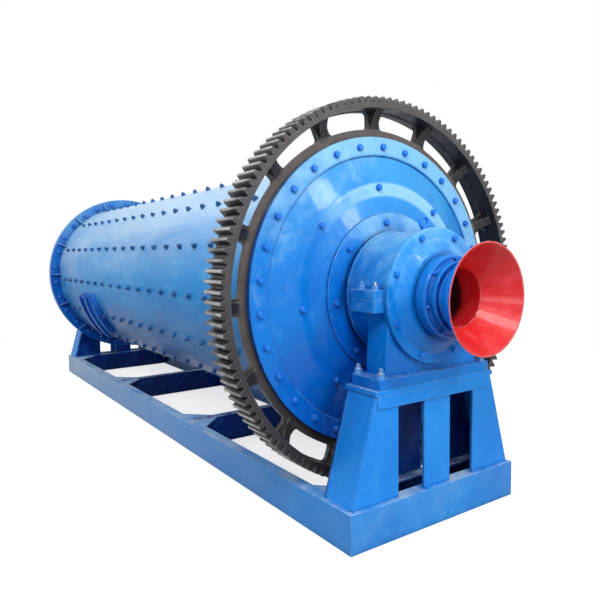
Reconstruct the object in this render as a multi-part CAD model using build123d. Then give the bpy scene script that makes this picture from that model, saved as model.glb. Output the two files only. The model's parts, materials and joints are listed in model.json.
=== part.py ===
from build123d import *
import math
import os

# Ball mill on a skid frame: a bolted drum with a girth gear, turning in two split
# bearings that stand on plate pedestals. Millimetres, +Z up, +X along the drum axis
# towards the geared end, origin on the ground under the middle of the frame.

# Drum shell
shell_bore = 1500.0
shell_plate = 14.0
drum_length = 4570.0
flange_width = 106.0
shell_flange_thickness = 36.0
rib_count = 15
rib_angle = 83.0
rib_thickness = 14.0
rib_length = 80.0
rib_setback = 10.0
weld_gap = 0.3
overlap = 1.0

# Liner plates bolted inside the shell
liner_rows = 15
liner_thickness = 42.0
liner_lift = 16.0
liner_end_gap = 60.0

# Drum heads
head_flange_thickness = 30.0
head_step = 10.0
head_chamfer = 4.0
head_wall = 56.0
head_spigot = 20.0
head_spigot_clearance = 2.0
head_ring_outer = 608.0
head_ring_inner = 545.0
head_ring_rise = 44.0
head_cone_rise = 62.0
head_ring_slope = 24.0
head_edge_bevel = 4.0
head_blend_bevel = 9.0

# Girth gear
gear_module = 16.0
gear_pressure_angle = 20.0
gear_backlash = 0.6
gear_face_width = 165.0
gear_web_thickness = 26.0
gear_overhang = 106.0
gear_hub_ring = 42.0
gear_window_height = 94.0
gear_window_ledge = 5.0
gear_window_corner = 22.0
gear_rim = 25.0
gear_spokes = 16
gear_spoke_width = 87.0
gear_spoke_angle = 92.0
gear_rib_thickness = 50.0
gear_rib_setback = 24.0
gear_fit = 0.5

# Trunnions
journal_radius = 225.0
trunnion_bore_radius = 152.5
trunnion_flange_radius = 445.0
trunnion_flange_thickness = 32.0
trunnion_flange_rise = 14.0
trunnion_edge_bevel = 3.0
trunnion_blend_bevel = 10.0
neck_radius = 190.0
nose_radius = 180.0
nose_length = 37.0
collar_radius = 212.0
collar_width = 62.0
collar_chamfer = 8.0

# Bell spouts
spout_bore_radius = 146.0
spout_wall = 6.0
spout_rim_radius = 275.0
spout_flare = 164.0
spout_tail = 250.0
spout_lip = 8.0

# Bearings
bearing_barrel = 275.0
bearing_wall = 67.4
bush_wall = 45.0
bush_length = 240.0
running_clearance = 0.3
seat_clearance = 0.3
moving_clearance = 5.0
inner_cover_lap = 7.0
inner_cover_thickness = 25.0
outer_cover_lap = 12.0
outer_cover_thickness = 30.0
outer_cover_flange = 60.0
outer_cover_boss = 38.0
outer_cover_wall = 18.0
outer_cover_boss_rim = 6.0
cover_chamfer = 8.0
cover_edge_bevel = 3.0
cover_blend_bevel = 6.0
cover_gap = 8.0
head_to_bearing_gap = 20.0
split_flange_reach = 70.0
split_flange_length = 195.0
split_flange_lower = 65.0
split_flange_upper = 45.0
split_flange_corner = 18.0
column_inset = 26.0
column_spread = 25.0
column_length = 152.0
column_corner = 10.0
stem_half_width = 180.0
foot_reach = 67.0
foot_length = 224.0
foot_thickness = 54.0
foot_corner = 14.0
foot_drop = 102.0

# Pedestals
pedestal_depth = 222.0
pedestal_plate = 16.0
pedestal_top_plate = 25.0
pedestal_top_lip = 6.0
pedestal_top_margin = 20.0
pedestal_inset = 25.0
pedestal_window_width = 185.0
pedestal_window_post = 190.0
pedestal_window_height = 470.0
pedestal_band_height = 70.0
pedestal_ledge = 20.0

# Skid frame of rolled channel
frame_width = 1210.0
channel_height = 200.0
channel_flange = 75.0
channel_web = 9.0
channel_flange_thickness = 11.0
channel_fillet = 9.0
cope_clearance = 3.0
middle_beam_spacing = 1696.0
gusset_leg = 165.0
gear_ground_clearance = 128.0

# Manhole in the shell
manhole_x = -1125.0
manhole_angle = -28.0
manhole_length = 400.0
manhole_width = 330.0
manhole_corner = 70.0
manhole_frame_width = 62.0
manhole_frame_height = 34.0
manhole_cover_thickness = 16.0
manhole_cover_lap = 40.0
clamp_bar_width = 46.0
clamp_bar_thickness = 24.0
clamp_bar_spacing = 210.0

# Radii that follow from the shell and the gear
shell_radius = shell_bore / 2 + shell_plate
flange_radius = shell_radius + flange_width
gear_window_inner = flange_radius + gear_hub_ring
gear_rim_inner = gear_window_inner + gear_window_height + gear_window_ledge
gear_teeth = round(2 * (gear_rim_inner + gear_rim) / gear_module + 2.5)
gear_pitch_radius = gear_module * gear_teeth / 2
gear_root_radius = gear_pitch_radius - 1.25 * gear_module
gear_tip_radius = gear_pitch_radius + gear_module

# Bearing housing and what stands under it, built out from the journal
bearing_bore_radius = journal_radius + running_clearance + bush_wall + seat_clearance
bearing_barrel_radius = bearing_bore_radius + bearing_wall
inner_cover_radius = bearing_barrel_radius + inner_cover_lap
outer_cover_radius = bearing_barrel_radius + outer_cover_lap
outer_cover_boss_radius = outer_cover_radius - outer_cover_flange
split_flange_half_width = bearing_barrel_radius + split_flange_reach
column_top_half_width = bearing_barrel_radius - column_inset
column_foot_half_width = column_top_half_width + column_spread
foot_half_width = column_foot_half_width + foot_reach
bearing_centre_height = bearing_barrel_radius + foot_drop
pedestal_top_half_width = foot_half_width + pedestal_top_margin
pedestal_bottom_half_width = frame_width / 2 - pedestal_inset

# Heights
axis_height = gear_tip_radius + gear_ground_clearance
pedestal_height = axis_height - bearing_centre_height - channel_height
foot_top = axis_height - bearing_centre_height + foot_thickness

# Stations along the axis, at the geared end
head_face_x = drum_length / 2
shell_end_x = head_face_x - head_flange_thickness
head_lip_x = head_face_x + head_cone_rise
trunnion_face_x = head_lip_x + trunnion_flange_rise
trunnion_seat_x = trunnion_face_x - trunnion_flange_thickness
inner_cover_x = trunnion_face_x + head_to_bearing_gap
barrel_start_x = inner_cover_x + inner_cover_thickness
barrel_end_x = barrel_start_x + bearing_barrel
bearing_x = (barrel_start_x + barrel_end_x) / 2
cover_face_x = barrel_end_x + outer_cover_thickness
cover_nose_x = cover_face_x + outer_cover_boss
journal_end_x = cover_nose_x - outer_cover_wall - cover_gap
collar_x = cover_nose_x + cover_gap
neck_end_x = collar_x + collar_width
nose_end_x = neck_end_x + nose_length
throat_x = nose_end_x + moving_clearance
rim_x = throat_x + spout_flare
pedestal_outer_x = cover_face_x
pedestal_inner_x = pedestal_outer_x - pedestal_depth
frame_end_x = pedestal_outer_x + pedestal_ledge


def turned(*points):
    """Solid of revolution about the drum axis, from (x, radius) points; a third number bevels that corner."""
    profile = make_face(Polyline(*[point[:2] for point in points], close=True))
    for x, radius, bevel in [point for point in points if len(point) == 3]:
        nearest = profile.vertices().sort_by_distance((x, radius, 0))[0]
        profile = chamfer(nearest, bevel)
    return Pos(0, 0, axis_height) * revolve(profile, Axis.X)


def ring(x_start, x_end, inner_radius, outer_radius):
    """Plain ring about the drum axis."""
    return turned(
        (x_start, inner_radius),
        (x_end, inner_radius),
        (x_end, outer_radius),
        (x_start, outer_radius),
    )


def block(x_range, y_range, z_range):
    """Box from its three ranges."""
    size = [high - low for low, high in (x_range, y_range, z_range)]
    middle = [(high + low) / 2 for low, high in (x_range, y_range, z_range)]
    return Pos(*middle) * Box(*size)


def slab(x_range, y_range, z_range, corner):
    """Box with rounded upright edges."""
    outline = RectangleRounded(x_range[1] - x_range[0], y_range[1] - y_range[0], corner)
    place = Pos(sum(x_range) / 2, sum(y_range) / 2, z_range[0])
    return place * extrude(outline, z_range[1] - z_range[0])


def mirrored(shape):
    """The same piece at the other end of the mill."""
    return mirror(shape, about=Plane.YZ)


# Drum
def shell():
    tube = ring(-shell_end_x, shell_end_x, shell_bore / 2, shell_radius)
    return tube - manhole_prism(manhole_length, manhole_width, manhole_corner)


def shell_flange(outer_face_x, ribs_towards):
    """Flange welded on the shell, stiffened by ribs on its shell side."""
    inner_face_x = outer_face_x + ribs_towards * shell_flange_thickness
    low, high = sorted((outer_face_x, inner_face_x))
    flange = ring(low, high, shell_radius + weld_gap, flange_radius)
    rib_root_x = inner_face_x - ribs_towards * overlap
    rib_foot = shell_radius + 2 * weld_gap
    rib_top = flange_radius - rib_setback
    outline = Polyline(
        (rib_root_x, rib_foot),
        (inner_face_x + ribs_towards * rib_length, rib_foot),
        (inner_face_x + ribs_towards * rib_setback, rib_top),
        (rib_root_x, rib_top),
        close=True,
    )
    rib = extrude(make_face(outline), rib_thickness / 2, both=True)
    to_axis = Pos(0, 0, axis_height)
    ribs = [to_axis * Rot(X=rib_angle + 360 * i / rib_count) * rib for i in range(rib_count)]
    return flange + ribs


def shell_liner():
    """Wave-shaped liner plates, one lifter to each row of liner bolts."""
    outer_radius = shell_bore / 2 - weld_gap
    valley = outer_radius - liner_thickness
    crest = valley - liner_lift
    pitch = 2 * math.pi / liner_rows

    def at(radius, angle):
        return (radius * math.cos(angle), radius * math.sin(angle))

    waves = []
    for i in range(liner_rows):
        ends = at(valley, i * pitch), at(valley, (i + 1) * pitch)
        waves.append(ThreePointArc(ends[0], at(crest, (i + 0.5) * pitch), ends[1]))
    section = Face(Wire(CenterArc((0, 0), outer_radius, 0, 360).edges()), [Wire(waves)])
    length = 2 * (shell_end_x - liner_end_gap)
    return Pos(-length / 2, 0, axis_height) * extrude(Plane.YZ * section, length)


def head():
    """Stepped drum head: bolting flange, shallow cone, raised ring and trunnion seat."""
    dish_x = head_face_x - head_step
    ring_x = head_face_x + head_ring_rise
    seat_radius = trunnion_flange_radius + seat_clearance
    spigot_radius = shell_bore / 2 - head_spigot_clearance
    return turned(
        (shell_end_x, flange_radius),
        (head_face_x, flange_radius, head_edge_bevel),
        (head_face_x, shell_radius + head_chamfer),
        (dish_x, shell_radius),
        (ring_x - head_step, head_ring_outer + head_ring_slope, head_blend_bevel),
        (ring_x, head_ring_outer, head_blend_bevel),
        (ring_x, head_ring_inner, head_blend_bevel),
        (head_lip_x, seat_radius + head_chamfer),
        (head_lip_x, seat_radius),
        (trunnion_seat_x, seat_radius),
        (trunnion_seat_x, journal_radius + seat_clearance),
        (trunnion_seat_x - head_wall, journal_radius + seat_clearance),
        (ring_x - head_wall - head_step, head_ring_inner),
        (shell_end_x - head_spigot, spigot_radius - head_wall),
        (shell_end_x - head_spigot, spigot_radius),
        (shell_end_x, spigot_radius),
    )


def trunnion():
    """Hollow shaft with its bolting flange, journal, neck and nose."""
    inner_end_x = trunnion_seat_x - head_wall
    return turned(
        (inner_end_x, trunnion_bore_radius),
        (nose_end_x, trunnion_bore_radius),
        (nose_end_x, nose_radius, trunnion_edge_bevel),
        (neck_end_x, nose_radius, trunnion_edge_bevel),
        (neck_end_x, neck_radius),
        (journal_end_x, neck_radius),
        (journal_end_x, journal_radius, trunnion_edge_bevel),
        (trunnion_face_x, journal_radius, trunnion_blend_bevel),
        (trunnion_face_x, trunnion_flange_radius, trunnion_edge_bevel),
        (trunnion_seat_x, trunnion_flange_radius),
        (trunnion_seat_x, journal_radius),
        (inner_end_x, journal_radius),
    )


def seal_collar():
    """Collar clamped on the trunnion neck in front of the bearing cover."""
    return turned(
        (collar_x, neck_radius + seat_clearance),
        (neck_end_x, neck_radius + seat_clearance),
        (neck_end_x, collar_radius - collar_chamfer),
        (neck_end_x - collar_chamfer, collar_radius),
        (collar_x, collar_radius),
    )


def trunnion_liner():
    """Tube that lines the trunnion bore and carries the bell."""
    return ring(throat_x - spout_tail, throat_x, spout_bore_radius, spout_bore_radius + spout_wall)


def spout():
    """Bell mouth on the end of the liner tube."""
    return turned(
        (throat_x, spout_bore_radius),
        (rim_x, spout_rim_radius - spout_lip),
        (rim_x, spout_rim_radius),
        (throat_x, spout_bore_radius + spout_wall),
    )


# Girth gear
def involute_half_angle(radius):
    """Half the angle that a tooth covers at a radius, on involute flanks."""
    base_radius = gear_pitch_radius * math.cos(math.radians(gear_pressure_angle))

    def involute(at_radius):
        angle = math.acos(base_radius / at_radius)
        return math.tan(angle) - angle

    half_pitch_tooth = (math.pi * gear_module / 2 - gear_backlash) / (2 * gear_pitch_radius)
    return half_pitch_tooth + involute(gear_pitch_radius) - involute(radius)


def tooth_point(tooth_angle, side, radius):
    angle = tooth_angle + side * involute_half_angle(radius)
    return (radius * math.cos(angle), radius * math.sin(angle))


def gear_rim_face():
    """Toothed rim: root, rising flank, tip and falling flank for every tooth."""
    pitch = 2 * math.pi / gear_teeth
    first = math.pi / 2
    edges = []
    root_to_tip = (gear_root_radius, gear_pitch_radius, gear_tip_radius)
    for i in range(gear_teeth):
        here = first + i * pitch
        rising = [tooth_point(here, -1, radius) for radius in root_to_tip]
        falling = [tooth_point(here, 1, radius) for radius in reversed(root_to_tip)]
        next_root = tooth_point(here + pitch, -1, gear_root_radius)
        edges.append(ThreePointArc(*rising))
        edges.append(Line(rising[-1], falling[0]))
        edges.append(ThreePointArc(*falling))
        edges.append(Line(falling[-1], next_root))
    bore = CenterArc((0, 0), gear_rim_inner, 0, 360)
    return Face(Wire(edges), [Wire(bore.edges())])


def gear_window(angle):
    """Window with rounded corners between two spokes of even width."""
    arcs = []
    for radius in (gear_window_inner, gear_window_inner + gear_window_height):
        half_spoke = math.degrees(math.asin(gear_spoke_width / 2 / radius))
        half_span = 180 / gear_spokes - half_spoke
        arcs.append(CenterArc((0, 0), radius, angle - half_span, 2 * half_span))
    inner, outer = arcs
    sides = [Line(inner @ end, outer @ end) for end in (0, 1)]
    window = make_face([inner, outer, *sides])
    return fillet(window.vertices(), gear_window_corner)


def girth_gear():
    """One casting: toothed rim, windowed web and a rib on the face of every spoke."""
    front_x = shell_end_x + gear_overhang
    web_front_x = shell_end_x
    rim_join = (gear_rim_inner + gear_root_radius) / 2
    rim = extrude(Plane.YZ * gear_rim_face(), gear_face_width)
    web_face = Circle(rim_join) - Circle(shell_radius + gear_fit)
    spoke_pitch = 360 / gear_spokes
    for i in range(gear_spokes):
        web_face -= gear_window(gear_spoke_angle + (i + 0.5) * spoke_pitch)
    web = extrude(Plane.YZ * web_face, gear_web_thickness)
    gear = Pos(front_x - gear_face_width, 0, axis_height) * rim
    gear += Pos(web_front_x - gear_web_thickness, 0, axis_height) * web

    toe = (web_front_x, gear_window_inner - gear_rib_setback)
    heel = (front_x - gear_rib_setback, rim_join)
    waist = (web_front_x + gear_rib_setback, (gear_window_inner + gear_rim_inner) / 2)
    root_x = web_front_x - overlap
    back = Polyline(heel, (root_x, rim_join), (root_x, toe[1]), toe)
    outline = [ThreePointArc(toe, waist, heel), back]
    rib = extrude(make_face(outline), gear_rib_thickness / 2, both=True)
    to_axis = Pos(0, 0, axis_height)
    return gear + [to_axis * Rot(X=gear_spoke_angle + i * spoke_pitch) * rib for i in range(gear_spokes)]


# Manhole
def manhole_place():
    return Pos(manhole_x, 0, axis_height) * Rot(X=90 - manhole_angle)


def manhole_prism(length, width, corner):
    """Rounded rectangle pushed out through the shell where the manhole is."""
    reach = flange_radius + shell_plate
    return manhole_place() * extrude(RectangleRounded(length, width, corner), reach)


def manhole_layer(inner_radius, thickness):
    """Sleeve of the drum that a manhole piece is cut from."""
    start_x = manhole_x - manhole_length
    return ring(start_x, start_x + 2 * manhole_length, inner_radius, inner_radius + thickness)


def manhole_frame():
    """Raised frame that follows the shell round the opening."""
    border = manhole_frame_width
    outside = manhole_prism(
        manhole_length + 2 * border, manhole_width + 2 * border, manhole_corner + border
    )
    hole = manhole_prism(manhole_length, manhole_width, manhole_corner)
    return (manhole_layer(shell_radius + weld_gap, manhole_frame_height) & outside) - hole


def manhole_cover():
    lap = manhole_cover_lap
    outside = manhole_prism(manhole_length + 2 * lap, manhole_width + 2 * lap, manhole_corner + lap)
    seat_radius = shell_radius + weld_gap + manhole_frame_height + seat_clearance
    return manhole_layer(seat_radius, manhole_cover_thickness) & outside


def manhole_clamp_bars():
    """Two bars across the cover, drawn down by studs at their ends."""
    cover_radius = shell_radius + weld_gap + manhole_frame_height + seat_clearance
    seat_radius = cover_radius + manhole_cover_thickness + seat_clearance
    layer = manhole_layer(seat_radius, clamp_bar_thickness)
    reach = flange_radius + manhole_cover_thickness
    across = manhole_width + 2 * manhole_frame_width
    bars = []
    for side in (-1, 1):
        strip = extrude(Rectangle(clamp_bar_width, across), reach)
        bars.append(layer & (manhole_place() * Pos(side * clamp_bar_spacing / 2, 0, 0) * strip))
    return Compound(children=[bar.solid() for bar in bars])


# Bearings
def bearing_barrel_half(z_range):
    """Half of the round housing, and the space for the bush that is cut from it."""
    barrel = ring(barrel_start_x, barrel_end_x, 0, bearing_barrel_radius)
    half = block((barrel_start_x, barrel_end_x), (-foot_half_width, foot_half_width), z_range)
    return barrel & half


def bearing_bore_cut():
    return ring(bearing_x - bearing_barrel, bearing_x + bearing_barrel, 0, bearing_bore_radius)


def split_flange(z_range):
    """Bolting lugs on both sides of the housing, flush with its spout end."""
    x_range = (barrel_end_x - split_flange_length, barrel_end_x)
    return slab(x_range, (-split_flange_half_width, split_flange_half_width), z_range, split_flange_corner)


def bearing_column():
    """Column under the housing, spreading towards the foot."""
    outline = Polyline(
        (-column_foot_half_width, foot_top - overlap),
        (column_foot_half_width, foot_top - overlap),
        (column_top_half_width, axis_height),
        (-column_top_half_width, axis_height),
        close=True,
    )
    column = Pos(X=barrel_end_x - column_length) * extrude(Plane.YZ * make_face(outline), column_length)
    corners = column.edges().filter_by(lambda edge: abs(edge.tangent_at(0.5).Z) > 0.5)
    return fillet(corners, column_corner)


def bearing_base():
    """Lower half of the split housing, standing on its foot."""
    foot_bottom = foot_top - foot_thickness
    foot_end_x = pedestal_outer_x + pedestal_top_lip
    foot_x = (foot_end_x - foot_length, foot_end_x)
    base = bearing_barrel_half((foot_bottom, axis_height))
    base += slab(foot_x, (-foot_half_width, foot_half_width), (foot_bottom, foot_top), foot_corner)
    base += bearing_column()
    stem_x = (foot_x[0] + foot_corner, barrel_end_x - column_length + overlap)
    base += block(stem_x, (-stem_half_width, stem_half_width), (foot_top - overlap, axis_height))
    base += split_flange((axis_height - split_flange_lower, axis_height))
    return base - bearing_bore_cut()


def bearing_cap():
    """Upper half of the split housing."""
    cap = bearing_barrel_half((axis_height, axis_height + foot_half_width))
    cap += split_flange((axis_height, axis_height + split_flange_upper))
    return cap - bearing_bore_cut()


def bearing_bush():
    inner_radius = journal_radius + running_clearance
    start_x = bearing_x - bush_length / 2
    return ring(start_x, start_x + bush_length, inner_radius, inner_radius + bush_wall)


def bearing_inner_cover():
    """Cover on the drum side of the housing."""
    opening = journal_radius + moving_clearance
    return turned(
        (inner_cover_x, opening),
        (barrel_start_x, opening),
        (barrel_start_x, inner_cover_radius),
        (inner_cover_x + cover_chamfer, inner_cover_radius),
        (inner_cover_x, inner_cover_radius - cover_chamfer),
    )


def bearing_outer_cover():
    """Bolted cover on the spout side, with a coned boss round the neck."""
    cavity_radius = journal_radius + moving_clearance
    opening = neck_radius + moving_clearance
    wall_x = cover_nose_x - outer_cover_wall
    return turned(
        (barrel_end_x, cavity_radius),
        (wall_x, cavity_radius),
        (wall_x, opening),
        (cover_nose_x, opening),
        (cover_nose_x, cavity_radius + outer_cover_boss_rim, cover_edge_bevel),
        (cover_face_x + outer_cover_boss_rim, outer_cover_boss_radius, cover_blend_bevel),
        (cover_face_x, outer_cover_boss_radius + outer_cover_boss_rim),
        (cover_face_x, outer_cover_radius, cover_edge_bevel),
        (barrel_end_x, outer_cover_radius),
    )


# Pedestals
def pedestal_levels():
    """Heights of the pedestal's plates: the top of the frame and the underside of the top plate."""
    low = channel_height
    high = channel_height + pedestal_height - pedestal_top_plate
    return low, high


def pedestal_face_plate(outer_face_x, facing):
    """Tapered plate with two tall windows that run down to the frame, and a band above them."""
    low, high = pedestal_levels()
    face = make_face(
        Polyline(
            (-pedestal_bottom_half_width, low),
            (pedestal_bottom_half_width, low),
            (pedestal_top_half_width, high),
            (-pedestal_top_half_width, high),
            close=True,
        )
    )
    window_top = low + pedestal_window_height
    window_centre = (pedestal_window_post + pedestal_window_width) / 2
    for side in (-1, 1):
        window = Rectangle(pedestal_window_width, 2 * pedestal_window_height)
        face -= Pos(side * window_centre, low) * window
    start_x = min(outer_face_x, outer_face_x - facing * pedestal_plate)
    plate = Pos(X=start_x) * extrude(Plane.YZ * face, pedestal_plate)
    if facing < 0:
        return plate
    band_z = (window_top, min(window_top + pedestal_band_height, high))
    band_x = (outer_face_x - overlap, outer_face_x + pedestal_top_lip)
    band_half_width = pedestal_top_half_width - pedestal_top_lip
    return plate + block(band_x, (-band_half_width, band_half_width), band_z)


def pedestal_side_plates():
    low, high = pedestal_levels()
    length = pedestal_depth - 2 * pedestal_plate
    plates = []
    for side in (-1, 1):
        outline = Polyline(
            (side * pedestal_bottom_half_width, low),
            (side * pedestal_top_half_width, high),
            (side * (pedestal_top_half_width - pedestal_plate), high),
            (side * (pedestal_bottom_half_width - pedestal_plate), low),
            close=True,
        )
        plate = extrude(Plane.YZ * make_face(outline), length)
        plates.append(Pos(X=pedestal_inner_x + pedestal_plate) * plate)
    return Compound(children=[plate.solid() for plate in plates])


def pedestal_top():
    high = channel_height + pedestal_height
    half_width = pedestal_top_half_width + pedestal_top_lip
    return block(
        (pedestal_inner_x - pedestal_top_lip, pedestal_outer_x + pedestal_top_lip),
        (-half_width, half_width),
        (high - pedestal_top_plate, high),
    )


# Skid frame
def channel_section():
    """Channel with its web on the left edge and flanges to the right, from the ground up."""
    web = Pos(channel_web / 2, channel_height / 2) * Rectangle(channel_web, channel_height)
    flange = Rectangle(channel_flange, channel_flange_thickness)
    low = Pos(channel_flange / 2, channel_flange_thickness / 2) * flange
    high = Pos(0, channel_height - channel_flange_thickness) * low
    section = web + low + high
    corners = section.vertices().filter_by(lambda v: abs(v.X - channel_web) < 1e-6)
    return fillet(corners, channel_fillet)


def mitred(shape, length):
    """Channel lying along +X from the origin, its ends cut at 45 degrees away from its web."""
    half = length / 2
    outline = Polyline(
        (-half, 0),
        (half, 0),
        (half - channel_flange, channel_flange),
        (channel_flange - half, channel_flange),
        close=True,
    )
    return shape & extrude(make_face(outline), channel_height, dir=(0, 0, 1))


def channel_along_x(length):
    """Channel lying along X, its web on the XZ plane and its flanges towards +Y."""
    along = Plane(origin=(-length / 2, 0, 0), x_dir=(0, 1, 0), z_dir=(1, 0, 0))
    return extrude(along * channel_section(), length)


def side_rail(side):
    """Long rail with its web outside, mitred into the end beams."""
    length = 2 * frame_end_x
    rail = Pos(Y=-frame_width / 2) * mitred(channel_along_x(length), length)
    return rail if side < 0 else mirror(rail, about=Plane.XZ)


def end_beam():
    """Beam across the end of the frame with its web outside, mitred into the rails."""
    beam = mitred(channel_along_x(frame_width), frame_width)
    return Pos(X=frame_end_x) * Rot(Z=90) * beam


def cross_beam(web_x, facing):
    """Beam between the rails' flanges; its web is coped to reach the rails' webs."""
    length = frame_width - 2 * channel_flange
    beam = channel_along_x(length)
    cope = channel_flange_thickness + channel_fillet + cope_clearance
    tongue = frame_width / 2 - channel_web
    beam += block((-tongue, tongue), (0, channel_web), (cope, channel_height - cope))
    return Pos(X=web_x) * Rot(Z=90 * facing) * beam


def gussets(beam_edges):
    """Triangular plates in the top corners between the rails and the cross beams."""
    rail_edge = frame_width / 2 - channel_flange
    low = channel_height - channel_flange_thickness
    plates = []
    for edge_x, towards in beam_edges:
        for side in (-1, 1):
            outline = Polyline(
                (edge_x, side * rail_edge),
                (edge_x + towards * gusset_leg, side * rail_edge),
                (edge_x, side * (rail_edge - gusset_leg)),
                close=True,
            )
            plate = extrude(make_face(outline), channel_flange_thickness, dir=(0, 0, 1))
            plates.append(Pos(Z=low) * plate)
    return Compound(children=[plate.solid() for plate in plates])


def parts():
    """Every node of the mill, by name."""
    middle_x = middle_beam_spacing / 2
    beams = {
        "front_pedestal_beam": (pedestal_inner_x, -1),
        "front_middle_beam": (middle_x, 1),
        "rear_middle_beam": (-middle_x, 1),
        "rear_pedestal_beam": (-pedestal_inner_x, 1),
    }
    gusset_edges = [
        (pedestal_inner_x, -1),
        (middle_x, 1),
        (middle_x - channel_flange, -1),
        (-middle_x, 1),
        (-middle_x - channel_flange, -1),
        (-pedestal_inner_x, 1),
    ]
    made = {
        "left_rail": side_rail(-1),
        "right_rail": side_rail(1),
        "frame_gussets": gussets(gusset_edges),
        "shell": shell(),
        "shell_liner": shell_liner(),
        "front_shell_flange": shell_flange(shell_end_x - gear_web_thickness, -1),
        "rear_shell_flange": shell_flange(-shell_end_x, 1),
        "girth_gear": girth_gear(),
        "manhole_frame": manhole_frame(),
        "manhole_cover": manhole_cover(),
        "manhole_clamp_bars": manhole_clamp_bars(),
    }
    for name, (web_x, facing) in beams.items():
        made[name] = cross_beam(web_x, facing)
    ends = {
        "end_beam": end_beam(),
        "head": head(),
        "trunnion": trunnion(),
        "seal_collar": seal_collar(),
        "trunnion_liner": trunnion_liner(),
        "spout": spout(),
        "bearing_base": bearing_base(),
        "bearing_cap": bearing_cap(),
        "bearing_bush": bearing_bush(),
        "bearing_inner_cover": bearing_inner_cover(),
        "bearing_outer_cover": bearing_outer_cover(),
        "pedestal_outer_plate": pedestal_face_plate(pedestal_outer_x, 1),
        "pedestal_inner_plate": pedestal_face_plate(pedestal_inner_x, -1),
        "pedestal_side_plates": pedestal_side_plates(),
        "pedestal_top_plate": pedestal_top(),
    }
    for name, shape in ends.items():
        made["front_" + name] = shape
        made["rear_" + name] = mirrored(shape)
    return made


os.makedirs("parts", exist_ok=True)
for node, shape in parts().items():
    export_step(shape, f"parts/{node}.step")
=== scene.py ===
import json
import math
import random

import bpy
from mathutils import Matrix, Vector


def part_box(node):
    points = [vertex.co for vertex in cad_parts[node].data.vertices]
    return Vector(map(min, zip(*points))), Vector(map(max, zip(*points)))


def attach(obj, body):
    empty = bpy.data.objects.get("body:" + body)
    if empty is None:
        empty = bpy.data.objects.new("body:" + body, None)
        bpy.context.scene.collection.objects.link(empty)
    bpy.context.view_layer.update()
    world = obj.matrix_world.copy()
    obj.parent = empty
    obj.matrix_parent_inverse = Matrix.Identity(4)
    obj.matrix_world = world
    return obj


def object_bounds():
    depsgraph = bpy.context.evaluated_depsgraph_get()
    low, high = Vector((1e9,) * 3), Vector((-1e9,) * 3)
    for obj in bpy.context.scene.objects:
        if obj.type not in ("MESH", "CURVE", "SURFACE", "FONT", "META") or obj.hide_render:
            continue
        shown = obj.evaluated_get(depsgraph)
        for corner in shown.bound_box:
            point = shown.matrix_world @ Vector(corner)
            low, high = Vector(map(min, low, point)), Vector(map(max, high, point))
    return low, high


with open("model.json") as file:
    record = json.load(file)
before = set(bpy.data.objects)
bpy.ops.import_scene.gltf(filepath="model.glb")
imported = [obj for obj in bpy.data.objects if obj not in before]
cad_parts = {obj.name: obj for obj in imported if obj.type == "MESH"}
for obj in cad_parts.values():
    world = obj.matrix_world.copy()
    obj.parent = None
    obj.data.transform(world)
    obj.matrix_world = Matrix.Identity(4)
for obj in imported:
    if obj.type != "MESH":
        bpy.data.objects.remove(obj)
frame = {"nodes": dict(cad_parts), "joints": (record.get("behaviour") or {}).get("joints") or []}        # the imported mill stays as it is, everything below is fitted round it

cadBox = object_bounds()
nodes = frame["nodes"]
axisZ = frame["joints"][0]["pos_m"][2]        # height of the drum's axis
ends = {"front": 1, "rear": -1}               # which way each end of the mill faces along X
print("frame loaded:", len(nodes), "nodes")


# node helpers
def linear(red, green, blue):
    def channel(value):
        value = value / 255
        return value / 12.92 if value <= 0.04045 else ((value + 0.055) / 1.055) ** 2.4
    return (channel(red), channel(green), channel(blue), 1.0)


def setSockets(tree, node, sockets):
    for label, value in sockets.items():
        if isinstance(value, bpy.types.NodeSocket):
            tree.links.new(value, node.inputs[label])
        else:
            node.inputs[label].default_value = value


def wire(tree, kind, sockets=None, **settings):
    node = tree.nodes.new(kind)
    for name, value in settings.items():
        setattr(node, name, value)
    setSockets(tree, node, sockets or {})
    return node


def addGroup(tree, group, position, sockets=None):
    sockets = {"Position": position, **(sockets or {})}
    return wire(tree, "ShaderNodeGroup", sockets, node_tree=group).outputs


def calc(tree, operation, *values, clamp=False):
    node = wire(tree, "ShaderNodeMath", dict(enumerate(values)), operation=operation, use_clamp=clamp)
    return node.outputs[0]


def times(tree, first, second, clamp=False):
    return calc(tree, "MULTIPLY", first, second, clamp=clamp)


def remap(tree, value, low, high, toLow=0.0, toHigh=1.0):
    sockets = {"Value": value, "From Min": low, "From Max": high, "To Min": toLow, "To Max": toHigh}
    return wire(tree, "ShaderNodeMapRange", sockets, interpolation_type="SMOOTHSTEP").outputs[0]


def mixColor(tree, factor, first, second):
    return wire(tree, "ShaderNodeMix", {0: factor, 6: first, 7: second}, data_type="RGBA").outputs[2]


def noise(tree, position, scale, detail=4.0, roughness=0.55, distortion=0.0):
    sockets = {"Vector": position, "Scale": scale, "Detail": detail, "Roughness": roughness,
               "Distortion": distortion}
    return wire(tree, "ShaderNodeTexNoise", sockets).outputs[0]


def stretched(tree, position, x, y, z):
    return wire(tree, "ShaderNodeVectorMath", {0: position, 1: (x, y, z)}, operation="MULTIPLY").outputs[0]


def dot(tree, first, second):
    return wire(tree, "ShaderNodeVectorMath", {0: first, 1: second}, operation="DOT_PRODUCT").outputs["Value"]


def newGroup(name, takes, gives):
    tree = bpy.data.node_groups.new(name, "ShaderNodeTree")
    for label, value in takes.items():
        kind = {str: "NodeSocketVector", tuple: "NodeSocketColor"}.get(type(value), "NodeSocketFloat")
        socket = tree.interface.new_socket(label, in_out="INPUT", socket_type=kind)
        if kind != "NodeSocketVector":
            socket.default_value = value
    for label, kind in gives.items():
        tree.interface.new_socket(label, in_out="OUTPUT", socket_type="NodeSocket" + kind)
    return tree, tree.nodes.new("NodeGroupInput").outputs, tree.nodes.new("NodeGroupOutput")


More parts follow.
